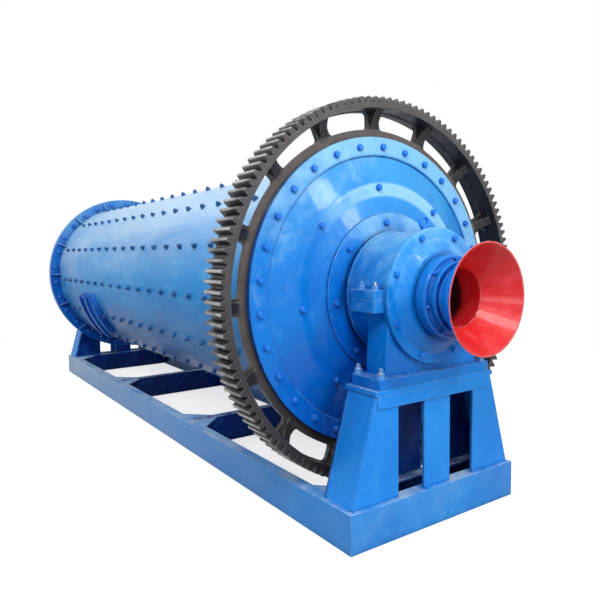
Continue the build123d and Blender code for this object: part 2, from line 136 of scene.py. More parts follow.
# effects that several finishes share
# lighter edges: wear, and a painted highlight along them
def makeEdgeWearAndHighlight():
    tree, given, out = newGroup(
        "edgeWearAndHighlight", {"Position": "vector", "Width": 0.006, "Breakup": 22.0, "Amount": 0.8},
        {"Mask": "Float", "Normal": "Vector"})
    rounded = wire(tree, "ShaderNodeBevel", {"Radius": given["Width"]}, samples=6).outputs[0]
    facing = wire(tree, "ShaderNodeNewGeometry").outputs["Normal"]
    corner = remap(tree, dot(tree, rounded, facing), 0.985, 0.80)
    patchy = remap(tree, noise(tree, given["Position"], given["Breakup"], 5.0, 0.65), 0.34, 0.62)
    mask = times(tree, times(tree, corner, patchy), given["Amount"], clamp=True)
    setSockets(tree, out, {"Mask": mask, "Normal": rounded})
    return tree


def makePaintFilm():
    tree, given, out = newGroup(
        "paintFilm",
        {"Position": "vector", "Paint": (0.0, 0.1, 0.6, 1.0), "Deep": (0.0, 0.05, 0.4, 1.0),
         "Chalk": (0.2, 0.4, 0.8, 1.0), "Chalking": 0.25, "Smoothest": 0.2, "Roughest": 0.4},
        {"Color": "Color", "Roughness": "Float", "Height": "Float"})
    broad = noise(tree, given["Position"], 1.6, 3.0)
    mottle = noise(tree, given["Position"], 11.0, 6.0, 0.6, 0.4)
    peel = noise(tree, given["Position"], 190.0, 2.0)
    color = mixColor(tree, remap(tree, broad, 0.36, 0.62), given["Deep"], given["Paint"])
    chalking = times(tree, remap(tree, mottle, 0.45, 0.72), given["Chalking"])
    color = mixColor(tree, chalking, color, given["Chalk"])
    blend = times(tree, calc(tree, "ADD", broad, mottle), 0.5)
    spread = calc(tree, "SUBTRACT", given["Roughest"], given["Smoothest"])
    roughness = calc(tree, "MULTIPLY_ADD", remap(tree, blend, 0.38, 0.62), spread, given["Smoothest"])
    height = calc(tree, "MULTIPLY_ADD", mottle, 0.5, times(tree, peel, 0.5))
    setSockets(tree, out, {"Color": color, "Roughness": roughness, "Height": height})
    return tree


def makeSettledDust():
    tree, given, out = newGroup("settledDust", {"Position": "vector", "Amount": 0.5}, {"Mask": "Float"})
    facing = wire(tree, "ShaderNodeNewGeometry").outputs["Normal"]
    lying = remap(tree, wire(tree, "ShaderNodeSeparateXYZ", {0: facing}).outputs["Z"], 0.45, 0.98)
    drifts = remap(tree, noise(tree, given["Position"], 7.0, 6.0, 0.62), 0.32, 0.68)
    mask = times(tree, times(tree, lying, drifts), given["Amount"], clamp=True)
    setSockets(tree, out, {"Mask": mask})
    return tree


# painted shade: a darkening where a surface is closed in, in corners, gaps and recesses
def makeCornerShade():
    tree, given, out = newGroup("paintedCornerShade", {"Position": "vector", "Reach": 0.06, "Amount": 0.6},
                                {"Mask": "Float"})
    clear = wire(tree, "ShaderNodeAmbientOcclusion", {"Distance": given["Reach"]}, samples=6).outputs["AO"]
    closed = remap(tree, clear, 0.85, 0.25)
    patchy = remap(tree, noise(tree, given["Position"], 16.0, 5.0), 0.25, 0.7, 0.45, 1.0)
    mask = times(tree, times(tree, closed, patchy), given["Amount"], clamp=True)
    setSockets(tree, out, {"Mask": mask})
    return tree


def makeCastSkin():
    tree, given, out = newGroup("castSkin", {"Position": "vector", "Coarse": 9.0, "Fine": 70.0},
                                {"Height": "Float", "Mottle": "Float"})
    lumps = noise(tree, given["Position"], given["Coarse"], 2.0, 0.45)
    sand = noise(tree, given["Position"], given["Fine"], 4.0, 0.6)
    height = calc(tree, "MULTIPLY_ADD", lumps, 0.75, times(tree, sand, 0.25))
    setSockets(tree, out, {"Height": height, "Mottle": remap(tree, sand, 0.35, 0.65)})
    return tree


def makeSideFade():
    # a ragged mask that grows towards one side: painted light, painted shade, chalking and greying
    tree, given, out = newGroup(
        "sideFade", {"Position": "vector", "Towards": "vector", "Start": -0.2, "Full": 0.8, "Patch Size": 3.0,
                     "Amount": 0.5},
        {"Mask": "Float"})
    fromAxis = {0: given["Position"], 1: (0, 0, axisZ)}
    centred = wire(tree, "ShaderNodeVectorMath", fromAxis, operation="SUBTRACT").outputs[0]
    reach = dot(tree, centred, given["Towards"])
    patches = noise(tree, given["Position"], given["Patch Size"], 5.0, 0.6, 0.5)
    ragged = calc(tree, "MULTIPLY_ADD", calc(tree, "SUBTRACT", patches, 0.5), 1.1, reach)
    fading = remap(tree, ragged, given["Start"], given["Full"])
    mask = times(tree, fading, given["Amount"], clamp=True)
    setSockets(tree, out, {"Mask": mask})
    return tree


def makeAxisPlace():
    tree, given, out = newGroup("axisPlace", {"Position": "vector"}, {"Along": "Float", "Radius": "Float"})
    parts = wire(tree, "ShaderNodeSeparateXYZ", {0: given["Position"]}).outputs
    across = wire(tree, "ShaderNodeCombineXYZ", {1: parts["Y"], 2: calc(tree, "SUBTRACT", parts["Z"], axisZ)})
    length = wire(tree, "ShaderNodeVectorMath", {0: across.outputs[0]}, operation="LENGTH").outputs["Value"]
    setSockets(tree, out, {"Along": parts["X"], "Radius": length})
    return tree


edgeWearAndHighlight = makeEdgeWearAndHighlight()
paintFilm = makePaintFilm()
settledDust = makeSettledDust()
paintedCornerShade = makeCornerShade()
castSkin = makeCastSkin()
sideFade = makeSideFade()
axisPlace = makeAxisPlace()
print("shader groups built")


# finishes
def emptyTree(owner):
    owner.use_nodes = True
    owner.node_tree.nodes.clear()
    return owner.node_tree


def newMaterial(name, constants):
    material = bpy.data.materials.new(name)
    tree = emptyTree(material)
    shader = wire(tree, "ShaderNodeBsdfPrincipled", constants)
    wire(tree, "ShaderNodeOutputMaterial", {"Surface": shader.outputs[0]})
    position = wire(tree, "ShaderNodeTexCoord").outputs["Object"]
    return material, tree, shader, position


def bumps(tree, normal, *layers):
    for height, depth in layers:
        sockets = {"Height": height, "Distance": depth, "Strength": 1.0, "Normal": normal}
        normal = wire(tree, "ShaderNodeBump", sockets).outputs[0]
    return normal


def addFade(tree, position, fade):
    return addGroup(tree, sideFade, position, {
        "Towards": fade["towards"], "Start": fade["start"], "Full": fade["full"],
        "Patch Size": fade["patch"], "Amount": fade["amount"]})["Mask"]


blues = {
    "paint": linear(6, 134, 234),
    "deep": linear(4, 118, 221),
    "chalk": linear(96, 178, 236),
    # edges: wear, and a painted highlight
    "edge": linear(140, 200, 246),
    # painted shade colour for corners and between parts
    "cornerShade": linear(6, 34, 92),
    "dust": linear(176, 198, 220),
}
# what a blue coat has where its own look gives nothing else
blueCoat = {
    "chalk": blues["chalk"], "chalking": 0.1, "grain": 1.0, "coatRoughness": 0.07, "edgeWidth": 0.006,
    "edgeWearAndHighlight": 0.5, "chips": 20.0, "cornerShadeReach": 0.06, "waveScale": 5.0, "sand": 60.0, "peelDepth": 0.0006,
    "dustRough": 0.35}


def bluePaint(name, ownLook):
    look = {**blueCoat, **ownLook}
    material, tree, shader, position = newMaterial(name, {
        "Specular IOR Level": look["gloss"], "Coat Weight": look["coat"],
        "Coat Roughness": look["coatRoughness"]})
    rolled = stretched(tree, position, look["grain"], 1, 1)
    smoothest, roughest = look["roughness"]
    film = addGroup(tree, paintFilm, rolled, {
        "Paint": look["paint"], "Deep": look["deep"], "Chalk": look["chalk"], "Chalking": look["chalking"],
        "Smoothest": smoothest, "Roughest": roughest})
    edges = addGroup(tree, edgeWearAndHighlight, position, {
        "Width": look["edgeWidth"], "Breakup": look["chips"], "Amount": look["edgeWearAndHighlight"]})
    cornerShade = addGroup(tree, paintedCornerShade, position, {"Reach": look["cornerShadeReach"], "Amount": look["cornerShade"]})
    skin = addGroup(tree, castSkin, rolled, {"Coarse": look["waveScale"], "Fine": look["sand"]})
    color, roughness = film["Color"], film["Roughness"]
    for fade in look.get("fades", ()):
        color = mixColor(tree, addFade(tree, rolled, fade), color, fade["color"])
    # painted shade pooled round the bearing, where the head is closed in
    if "oil" in look:
        oil = look["oil"]
        pooledShade = addGroup(tree, paintedCornerShade, position, {"Reach": oil["reach"], "Amount": oil["amount"]})
        color = mixColor(tree, pooledShade["Mask"], color, oil["color"])
    # painted highlight on the upper side of the raised rings
    if "crest" in look:
        crest = look["crest"]
        radius = addGroup(tree, axisPlace, position)["Radius"]
        upper = addFade(tree, position, crest)
        for inner, outer, amount in crest["bands"]:
            rise = remap(tree, radius, inner - crest["soft"], inner + crest["soft"], 0.0, amount)
            fall = remap(tree, radius, outer + crest["soft"], outer - crest["soft"])
            band = times(tree, times(tree, rise, fall), upper)
            color = mixColor(tree, band, color, crest["color"])
    # painted shade in corners and between parts
    color = mixColor(tree, cornerShade["Mask"], color, blues["cornerShade"])
    # pale edges: wear, and a painted highlight
    color = mixColor(tree, edges["Mask"], color, blues["edge"])
    if "dust" in look:
        dust = addGroup(tree, settledDust, position, {"Amount": look["dust"]})
        color = mixColor(tree, dust["Mask"], color, blues["dust"])
        roughness = calc(tree, "MULTIPLY_ADD", dust["Mask"], look["dustRough"], roughness, clamp=True)
    normal = bumps(tree, edges["Normal"],
                   (skin["Height"], look["waveDepth"]), (film["Height"], look["peelDepth"]))
    setSockets(tree, shader, {"Base Color": color, "Roughness": roughness, "Normal": normal})
    return material


# rolled plate of the drum, streaked along its axis: paler along the top, chalking and a painted sky sheen,
# and darker underneath, a painted shade
drumLook = {
    "paint": linear(20, 144, 220), "deep": linear(14, 126, 204), "chalk": linear(140, 202, 238),
    "gloss": 0.06, "coat": 0.02, "grain": 0.3, "chalking": 0.22, "roughness": (0.28, 0.44),
    "edgeWidth": 0.005, "cornerShade": 0.6, "waveScale": 4.0, "waveDepth": 0.006,
    # chalking with a painted sky sheen on top, greyer towards the rear on the near side, painted shade
    # underneath
    "fades": [{"towards": (0, -0.2, 1), "start": 0.02, "full": 0.85, "patch": 2.5, "amount": 0.85,
               "color": linear(194, 219, 239)},
              {"towards": (-0.18, -0.35, 0.2), "start": -0.1, "full": 0.7, "patch": 3.0, "amount": 0.25,
               "color": linear(150, 190, 214)},
              {"towards": (0, 0, -1.1), "start": 0.1, "full": 0.65, "patch": 2.0, "amount": 0.7,
               "color": linear(7, 84, 158)}]}
# glossy heads over an uneven casting: painted light and a painted reflection above, painted shade below and
# round the bearing, painted highlights on the raised ring
headLook = {
    "paint": linear(5, 120, 209), "deep": linear(4, 106, 197), "gloss": 0.14, "coat": 0.18,
    "roughness": (0.13, 0.25), "edgeWidth": 0.008, "cornerShade": 0.95, "cornerShadeReach": 0.05, "waveScale": 6.0,
    "waveDepth": 0.012,
    # painted shade round the bearing
    "oil": {"reach": 0.4, "amount": 0.85, "color": linear(2, 76, 190)},
    # painted highlight on the ring crests
    "crest": {"bands": [(0.330, 0.447, 0.7), (0.540, 0.612, 0.75), (0.775, 0.880, 0.5)], "soft": 0.012,
              "towards": (0, 0.35, 0.9), "start": 0.0, "full": 0.6, "patch": 4.0, "amount": 1.0,
              "color": linear(164, 218, 244)},
    # painted light towards the top, painted shade low on the far side, a painted reflection patch on the
    # upper near side
    "fades": [{"towards": (0, 0.2, 0.95), "start": -0.15, "full": 0.95, "patch": 2.5, "amount": 0.6,
               "color": linear(74, 176, 228)},
              {"towards": (0, 0.35, -0.7), "start": -0.1, "full": 0.6, "patch": 2.0, "amount": 0.75,
               "color": linear(2, 84, 196)},
              {"towards": (0, -0.5, 0.6), "start": 0.4, "full": 0.8, "patch": 7.0, "amount": 0.35,
               "color": linear(160, 212, 242)}]}
# the shell's flanges have the heads' paint with its painted light and shade, without the painted ring
# highlights
flangeLook = {key: value for key, value in headLook.items() if key != "crest"}
# cast bearing housings, with painted highlights over the top and upper sides
housingLook = {
    "paint": linear(6, 126, 213), "deep": linear(5, 108, 198), "gloss": 0.12, "coat": 0.15,
    "roughness": (0.18, 0.32), "edgeWidth": 0.008, "cornerShade": 0.75, "waveScale": 9.0, "waveDepth": 0.007,
    "peelDepth": 0.0007, "dust": 0.4,
    # painted highlights: on the top, the upper far side and the upper near side
    "fades": [{"towards": (0, -0.3, 1), "start": 0.08, "full": 0.5, "patch": 6.0, "amount": 0.5,
               "color": linear(88, 184, 236)},
              {"towards": (0, 0.3, 0.95), "start": 0.04, "full": 0.55, "patch": 4.0, "amount": 0.65,
               "color": linear(146, 208, 238)},
              {"towards": (0, -1, 0.5), "start": 0.28, "full": 1.0, "patch": 14.0, "amount": 0.6,
               "color": linear(150, 206, 240)}]}
# welded plate of the pedestals, with a wide painted shade in their windows and corners
plateLook = {
    "paint": linear(38, 142, 230), "deep": linear(26, 130, 222), "gloss": 0.12, "coat": 0.06,
    "chalking": 0.14, "roughness": (0.28, 0.46), "edgeWearAndHighlight": 0.7, "cornerShade": 0.85, "cornerShadeReach": 0.2,
    "waveDepth": 0.005, "dust": 0.6}
# channel of the skid's sides, scuffed and greyed towards the rear
railLook = {
    "paint": linear(46, 140, 222), "deep": linear(32, 124, 210), "gloss": 0.12, "coat": 0.03, "grain": 0.4,
    "chalking": 0.2, "roughness": (0.34, 0.52), "edgeWearAndHighlight": 0.95, "cornerShade": 0.6, "waveDepth": 0.004,
    "peelDepth": 0.0007, "dust": 0.85,
    "fades": [{"towards": (-0.45, 0, 0), "start": -0.7, "full": 0.8, "patch": 2.0, "amount": 0.9,
               "color": linear(160, 182, 202)}]}
# cross beams get a darker paint, painted shade for where they lie under the drum, with dust on top
beamShadeLook = {
    "paint": linear(6, 54, 140), "deep": linear(4, 40, 112), "gloss": 0.1, "coat": 0.03,
    "roughness": (0.34, 0.52), "cornerShade": 0.9, "cornerShadeReach": 0.15, "waveDepth": 0.004, "peelDepth": 0.0007,
    "dust": 0.8}
# faces inside the pedestals get the same darker paint, a painted shade, with their cut edges rubbed back to
# pale blue: wear and a painted highlight
insideShadeLook = {**beamShadeLook, "edgeWidth": 0.02, "edgeWearAndHighlight": 1.0}
# dull nuts on the shell, brighter bolts on the heads and bearings
nutLook = {
    "paint": linear(46, 104, 166), "deep": linear(32, 82, 138), "gloss": 0.25, "coat": 0.1,
    "chalking": 0.15, "roughness": (0.3, 0.48), "edgeWidth": 0.002, "cornerShade": 0.5, "waveScale": 40.0,
    "waveDepth": 0.001, "peelDepth": 0.0004}
boltLook = {
    **nutLook, "paint": linear(8, 120, 222), "deep": linear(6, 100, 204), "gloss": 0.3, "coat": 0.2,
    "chalking": 0.2, "roughness": (0.24, 0.4), "cornerShade": 0.7}
# the manhole sits in the drum's shade and gets a darker paint, a painted shade
hatchShadeLook = {
    "paint": linear(14, 96, 190), "deep": linear(10, 78, 168), "gloss": 0.1, "coat": 0.04,
    "chalking": 0.15, "roughness": (0.3, 0.46), "edgeWidth": 0.004, "edgeWearAndHighlight": 0.15, "cornerShade": 0.8,
    "waveScale": 9.0, "waveDepth": 0.004}

gearLook = {
    "casting": (linear(25, 24, 27), linear(46, 44, 46)),        # spokes and the inside of the rim
    "turned": (linear(52, 50, 52), linear(80, 77, 78)),         # the two flat faces
    "cut": (linear(60, 60, 65), linear(106, 106, 110)),         # tooth flanks and tips
    "hub": (linear(64, 57, 54), linear(106, 98, 94)),           # bare ring outside the head
    "rust": linear(92, 68, 54), "rusting": 0.2, "bright": linear(208, 208, 206),
    "toothDepth": 0.038, "hubRing": 0.045, "faceDepth": 0.003, "flatFrom": 0.7, "toolLines": 420.0,
    "tipBand": 0.004, "tipWearAndGlint": 0.6,                           # bright lands on the teeth: wear, and a painted glint
    "roughness": (0.38, 0.58), "metal": 0.1, "cutMetal": 0.25, "skinDepth": 0.004, "toolDepth": 0.0004,
    # painted shade, darker towards the bottom of the gear
    "lowerShade": {"color": linear(30, 27, 29), "towards": (0, -0.05, -0.8), "start": -0.35, "full": 0.6,
               "patch": 3.0, "amount": 0.75},
}


def gearIron(name, look):
    material, tree, shader, position = newMaterial(name, {"Specular IOR Level": 0.4})
    low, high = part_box("girth_gear")
    tipRadius = (high.z - low.z) / 2
    headLow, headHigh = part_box("front_head")
    hubRadius = (headHigh.z - headLow.z) / 2 + look["hubRing"]
    place = addGroup(tree, axisPlace, position)
    skin = addGroup(tree, castSkin, position, {"Coarse": 14.0, "Fine": 120.0})
    edges = addGroup(tree, edgeWearAndHighlight, position, {"Width": 0.004, "Breakup": 30.0, "Amount": 0.5})
    cornerShade = addGroup(tree, paintedCornerShade, position, {"Reach": 0.045, "Amount": 0.95})
    lowerShade = look["lowerShade"]
    shadedBelow = addFade(tree, position, lowerShade)
    patches = noise(tree, position, 6.0, 6.0, 0.62)
    lines = times(tree, place["Radius"], look["toolLines"])
    turning = noise(tree, wire(tree, "ShaderNodeCombineXYZ", {0: lines}).outputs[0], 1.0, 2.0)
    facing = wire(tree, "ShaderNodeNewGeometry").outputs["Normal"]
    sideways = calc(tree, "ABSOLUTE", wire(tree, "ShaderNodeSeparateXYZ", {0: facing}).outputs["X"])
    flat = calc(tree, "GREATER_THAN", sideways, look["flatFrom"])
    atFace = calc(tree, "MAXIMUM", calc(tree, "GREATER_THAN", place["Along"], high.x - look["faceDepth"]),
                  calc(tree, "LESS_THAN", place["Along"], low.x + look["faceDepth"]))
    hub = calc(tree, "LESS_THAN", place["Radius"], hubRadius)
    toothed = calc(tree, "GREATER_THAN", place["Radius"], tipRadius - look["toothDepth"])
    worked = remap(tree, turning, 0.3, 0.7)
    color = mixColor(tree, skin["Mottle"], *look["casting"])
    faces = times(tree, flat, atFace)
    color = mixColor(tree, faces, color, mixColor(tree, worked, *look["turned"]))
    color = mixColor(tree, hub, color, mixColor(tree, worked, *look["hub"]))
    flanks = times(tree, toothed, calc(tree, "SUBTRACT", 1.0, flat))
    color = mixColor(tree, flanks, color, mixColor(tree, remap(tree, patches, 0.35, 0.65), *look["cut"]))
    rusty = times(tree, remap(tree, patches, 0.48, 0.72), look["rusting"])
    color = mixColor(tree, rusty, color, look["rust"])
    # painted shade over the lower half
    color = mixColor(tree, shadedBelow, color, lowerShade["color"])
    # painted shade in the tooth gaps and corners
    color = mixColor(tree, cornerShade["Mask"], color, look["casting"][0])
    # bright tooth lands: wear, and a painted glint
    lands = calc(tree, "GREATER_THAN", place["Radius"], tipRadius - look["tipBand"])
    wornAndGlinting = times(tree, lands, remap(tree, patches, 0.35, 0.65, 0.0, look["tipWearAndGlint"]))
    color = mixColor(tree, wornAndGlinting, color, look["bright"])
    # bright edges: wear, and a painted highlight
    color = mixColor(tree, edges["Mask"], color, look["bright"])
    bare = calc(tree, "MAXIMUM", flanks, edges["Mask"])
    metal = calc(tree, "MULTIPLY_ADD", bare, look["cutMetal"], look["metal"])
    roughness = remap(tree, patches, 0.3, 0.7, *look["roughness"])
    normal = bumps(tree, edges["Normal"], (skin["Height"], look["skinDepth"]), (turning, look["toolDepth"]))
    setSockets(tree, shader, {
        "Base Color": color, "Metallic": metal, "Roughness": roughness, "Normal": normal})
    return material


redLook = {
    "paint": linear(206, 32, 36), "deep": linear(188, 20, 28), "chalk": linear(228, 98, 104),
    "edge": linear(246, 208, 202), "throat": linear(52, 14, 20),
    "redDepth": 0.115, "ragged": 0.06, "darkFade": (0.01, -0.02),     # how far into the throat the red reaches before it turns dark
    "wallFoot": 0.149, "wallSlope": 0.744, "lip": 0.004,        # middle of the bell's wall, blue outside it
    "chalking": 0.3, "roughness": (0.28, 0.44), "darkRough": 0.4, "waveDepth": 0.008, "peelDepth": 0.0005,
}


def redEnamel(name, look):
    constants = {"Coat Weight": 0.2, "Coat Roughness": 0.1, "Specular IOR Level": 0.3}
    material, tree, shader, position = newMaterial(name, constants)
    low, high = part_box("front_spout")
    place = addGroup(tree, axisPlace, position)
    along = calc(tree, "ABSOLUTE", place["Along"])
    smoothest, roughest = look["roughness"]
    film, outside = (addGroup(tree, paintFilm, position, {
        "Paint": coat["paint"], "Deep": coat["deep"], "Chalk": coat["chalk"], "Chalking": look["chalking"],
        "Smoothest": smoothest, "Roughest": roughest}) for coat in (look, blues))
    edges = addGroup(tree, edgeWearAndHighlight, position, {"Width": 0.005, "Breakup": 40.0, "Amount": 0.9})
    waves = noise(tree, position, 12.0, 2.0, 0.5, 0.6)
    soiled = noise(tree, position, 18.0, 5.0, 0.6, 0.8)
    fromFoot = calc(tree, "SUBTRACT", along, low.x)
    pastFoot = calc(tree, "MAXIMUM", fromFoot, 0.0)
    wall = calc(tree, "MULTIPLY_ADD", pastFoot, look["wallSlope"], look["wallFoot"])
    back = times(tree, calc(tree, "GREATER_THAN", place["Radius"], wall),
                calc(tree, "LESS_THAN", along, high.x - look["lip"]))
    depth = calc(tree, "MULTIPLY_ADD", calc(tree, "SUBTRACT", soiled, 0.5), look["ragged"], fromFoot)
    darkening = remap(tree, depth, *(edge - look["redDepth"] for edge in look["darkFade"]))
    color = mixColor(tree, back, film["Color"], outside["Color"])
    # pale rim edges: worn paint, and a painted highlight
    color = mixColor(tree, edges["Mask"], color, look["edge"])
    # dark maroon from a ragged depth into the throat
    color = mixColor(tree, darkening, color, look["throat"])
    roughness = calc(tree, "MULTIPLY_ADD", darkening, look["darkRough"], film["Roughness"], clamp=True)
    normal = bumps(tree, edges["Normal"], (waves, look["waveDepth"]), (film["Height"], look["peelDepth"]))
    setSockets(tree, shader, {"Base Color": color, "Roughness": roughness, "Normal": normal})
    return material


steelLook = {"metal": linear(164, 176, 190), "dull": linear(110, 124, 142), "overspray": linear(70, 140, 208),
             "metallic": (0.55, 0.05), "roughness": (0.3, 0.5), "skinDepth": 0.0006}


def studSteel(name, look):
    material, tree, shader, position = newMaterial(name, {"Specular IOR Level": 0.4})
    edges = addGroup(tree, edgeWearAndHighlight, position, {"Width": 0.0025, "Breakup": 60.0, "Amount": 0.7})
    patches = noise(tree, position, 40.0, 5.0, 0.6)
    color = mixColor(tree, remap(tree, patches, 0.35, 0.65), look["dull"], look["metal"])
    sprayed = remap(tree, noise(tree, position, 23.0, 4.0), 0.34, 0.52)
    color = mixColor(tree, sprayed, color, look["overspray"])
    color = mixColor(tree, edges["Mask"], color, look["metal"])
    metal = remap(tree, sprayed, 0.0, 1.0, *look["metallic"])
    roughness = remap(tree, patches, 0.3, 0.7, *look["roughness"])
    normal = bumps(tree, edges["Normal"], (patches, look["skinDepth"]))
    setSockets(tree, shader, {
        "Base Color": color, "Metallic": metal, "Roughness": roughness, "Normal": normal})
    return material


linerLook = {"cast": linear(92, 88, 86), "dark": linear(50, 46, 44), "rust": linear(110, 70, 46),
             "rusting": 0.7, "roughness": (0.45, 0.75), "skinDepth": 0.005}


def castLiner(name, look):
    material, tree, shader, position = newMaterial(name, {"Specular IOR Level": 0.4})
    skin = addGroup(tree, castSkin, position, {"Coarse": 10.0, "Fine": 90.0})
    edges = addGroup(tree, edgeWearAndHighlight, position, {"Width": 0.006, "Breakup": 18.0, "Amount": 0.5})
    color = mixColor(tree, skin["Mottle"], look["dark"], look["cast"])
    rust = remap(tree, noise(tree, position, 5.0, 6.0, 0.65), 0.45, 0.7)
    color = mixColor(tree, times(tree, rust, look["rusting"]), color, look["rust"])
    color = mixColor(tree, edges["Mask"], color, look["cast"])
    roughness = remap(tree, rust, 0.0, 1.0, *look["roughness"])
    normal = bumps(tree, edges["Normal"], (skin["Height"], look["skinDepth"]))
    setSockets(tree, shader, {"Base Color": color, "Roughness": roughness, "Normal": normal})
    return material


bronzeLook = {"bronze": linear(186, 142, 78), "tarnish": linear(112, 82, 46), "roughness": (0.25, 0.45),
              "toolLines": 500.0, "toolDepth": 0.0003}


def bushBronze(name, look):
    material, tree, shader, position = newMaterial(name, {"Metallic": 1.0})
    place = addGroup(tree, axisPlace, position)
    lines = times(tree, place["Along"], look["toolLines"])
    tool = noise(tree, wire(tree, "ShaderNodeCombineXYZ", {0: lines}).outputs[0], 1.0, 2.0)
    patches = noise(tree, position, 9.0, 5.0)
    edges = addGroup(tree, edgeWearAndHighlight, position, {"Width": 0.003, "Breakup": 30.0, "Amount": 0.6})
    color = mixColor(tree, remap(tree, patches, 0.4, 0.65), look["bronze"], look["tarnish"])
    color = mixColor(tree, edges["Mask"], color, look["bronze"])
    roughness = remap(tree, patches, 0.3, 0.7, *look["roughness"])
    normal = bumps(tree, edges["Normal"], (tool, look["toolDepth"]))
    setSockets(tree, shader, {"Base Color": color, "Roughness": roughness, "Normal": normal})
    return material


finishes = {
    "drum": bluePaint("drumPaint", drumLook),
    "head": bluePaint("headPaint", headLook),
    "housing": bluePaint("housingPaint", housingLook),
    "plate": bluePaint("platePaint", plateLook),
    "rail": bluePaint("railPaint", railLook),
    "beam": bluePaint("beamShadedPaint", beamShadeLook),
    "inside": bluePaint("insideShadedPaint", insideShadeLook),
    "nut": bluePaint("linerNutPaint", nutLook),
    "bolt": bluePaint("boltPaint", boltLook),
    "flange": bluePaint("flangePaint", flangeLook),
    "hatch": bluePaint("hatchShadedPaint", hatchShadeLook),
    "gear": gearIron("gearIron", gearLook),
    "red": redEnamel("redEnamel", redLook),
    "steel": studSteel("studSteel", steelLook),
    "liner": castLiner("linerIron", linerLook),
    "bronze": bushBronze("bushBronze", bronzeLook),
}
# words in a node's name, in the order they are tried, and the finish it takes
nodeFinishes = [
    ("girth_gear", "gear"), ("shell_liner", "liner"), ("trunnion_liner", "red"), ("spout", "red"),
    ("bush", "bronze"), ("bearing", "housing"), ("inner_plate", "inside"), ("end_beam", "rail"),
    ("beam", "beam"), ("rail", "rail"), ("gussets", "rail"), ("pedestal", "plate"), ("head", "head"),
    ("trunnion", "head"), ("seal_collar", "head"), ("shell_flange", "flange"), ("manhole", "hatch"),
    ("", "drum"),
]
for nodeName, node in nodes.items():
    finish = next(finish for word, finish in nodeFinishes if word in nodeName)
    for materialSlot in node.material_slots:
        materialSlot.material = finishes[finish]
print("finishes on the frame:", len(finishes))


# fasteners, built from stacked rings and joined to one mesh a set
def skinRings(build, first, levels, sides):
    for level in range(levels - 1):
        base = first + level * sides
        for i in range(sides):
            j = (i + 1) % sides
            build["faces"].append((base + i, base + j, base + sides + j, base + sides + i))
    top = first + (levels - 1) * sides
    build["faces"].append(tuple(range(first + sides - 1, first - 1, -1)))
    build["faces"].append(tuple(range(top, top + sides)))


def stack(build, seatAt, rings, sides, turn=0.0):
    # a ring is a radius and a height, or a pair of either for corners and flats in turn
    first = len(build["points"])
    for radius, height in rings:
        for i in range(sides):
            angle = turn + 2 * math.pi * i / sides
            r = radius[i % 2] if isinstance(radius, tuple) else radius
            h = height[i % 2] if isinstance(height, tuple) else height
            build["points"].append(seatAt @ Vector((r * math.cos(angle), r * math.sin(angle), h)))
    skinRings(build, first, len(rings), sides)


# how every bolt is cut: shares of its own height or radius, and how deep its parts sink together
boltCut = {"sunk": 0.002, "washerSides": 20, "washerEdge": 0.75, "washerBevel": 0.35, "hexSunk": 0.001,
           "hexSides": 12, "corner": 0.76, "flat": 0.92, "crown": 0.92, "root": 0.88, "lastRoot": 0.9,
           "tip": 0.74}


def washer(build, seatAt, size):
    rim, thick = size["washer"], size["washerThick"]
    bevel = thick * boltCut["washerBevel"]
    rings = [(rim, -boltCut["sunk"]), (rim, thick * boltCut["washerEdge"]), (rim - bevel, thick)]
    stack(build, seatAt, rings, boltCut["washerSides"])


def hexBolt(build, seatAt, size, turn):
    washer(build, seatAt, size)
    flat, base, height = size["across"] / 2, size["washerThick"], size["height"]
    hexagon = (flat / math.cos(math.pi / 6), flat)
    shoulder = (base + height * boltCut["corner"], base + height * boltCut["flat"])
    rings = [(hexagon, base - boltCut["hexSunk"]), (hexagon, shoulder),
             (flat * boltCut["crown"], base + height)]
    stack(build, seatAt, rings, boltCut["hexSides"], turn)


def studNut(build, seatAt, size, turn):
    hexBolt(build, seatAt, size, turn)
    base, stud, threads = size["washerThick"] + size["height"], size["stud"], size["threads"]
    pitch = size["proud"] / (threads + 0.5)
    rings = [(stud, base - boltCut["sunk"])]
    for i in range(threads):
        rings += [(stud * boltCut["root"], base + i * pitch), (stud, base + (i + 0.5) * pitch)]
    rings += [(stud * boltCut["lastRoot"], base + threads * pitch),
              (stud * boltCut["tip"], base + size["proud"])]
    stack(build, seatAt, rings, boltCut["hexSides"], turn)


def upright(point, outward, along):
    z = Vector(outward).normalized()
    x = (Vector(along) - z * Vector(along).dot(z)).normalized()
    y = z.cross(x)
    return Matrix.Translation(point) @ Matrix((x, y, z)).transposed().to_4x4()


def touch(nodeName, start, direction):
    found, point, normal = nodes[nodeName].ray_cast(Vector(start), Vector(direction))[:3]
    return (point, normal) if found else None


def radial(angle):
    # angles run up from the camera's side of the drum
    turn = math.radians(angle)
    return Vector((0, -math.cos(turn), math.sin(turn)))


def anyTurn(draw):
    return draw.uniform(0, math.pi / 3)


def newObject(name, data):
    thing = bpy.data.objects.new(name, data)
    bpy.context.scene.collection.objects.link(thing)
    return thing


def finishPiece(name, build, finish, body, smoothAngle=35):
    mesh = bpy.data.meshes.new(name)
    mesh.from_pydata([tuple(point) for point in build["points"]], [], build["faces"])
    mesh.validate()
    mesh.shade_smooth()
    mesh.set_sharp_from_angle(angle=math.radians(smoothAngle))
    mesh.materials.append(finishes[finish])
    piece = newObject(name, mesh)
    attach(piece, body)
    print(name, "has", len(mesh.polygons), "faces")


def emptyBuild():
    return {"points": [], "faces": []}


# "from" is where the ray that finds a seat starts
linerNuts = {"rows": 15, "firstAngle": -2.6, "perRow": 18, "pitch": 0.236, "firstX": 2.0325, "from": 1.2,
             "across": 0.030, "height": 0.018, "washer": 0.020, "washerThick": 0.004, "stud": 0.009,
             "proud": 0.008, "threads": 2, "seed": 11}


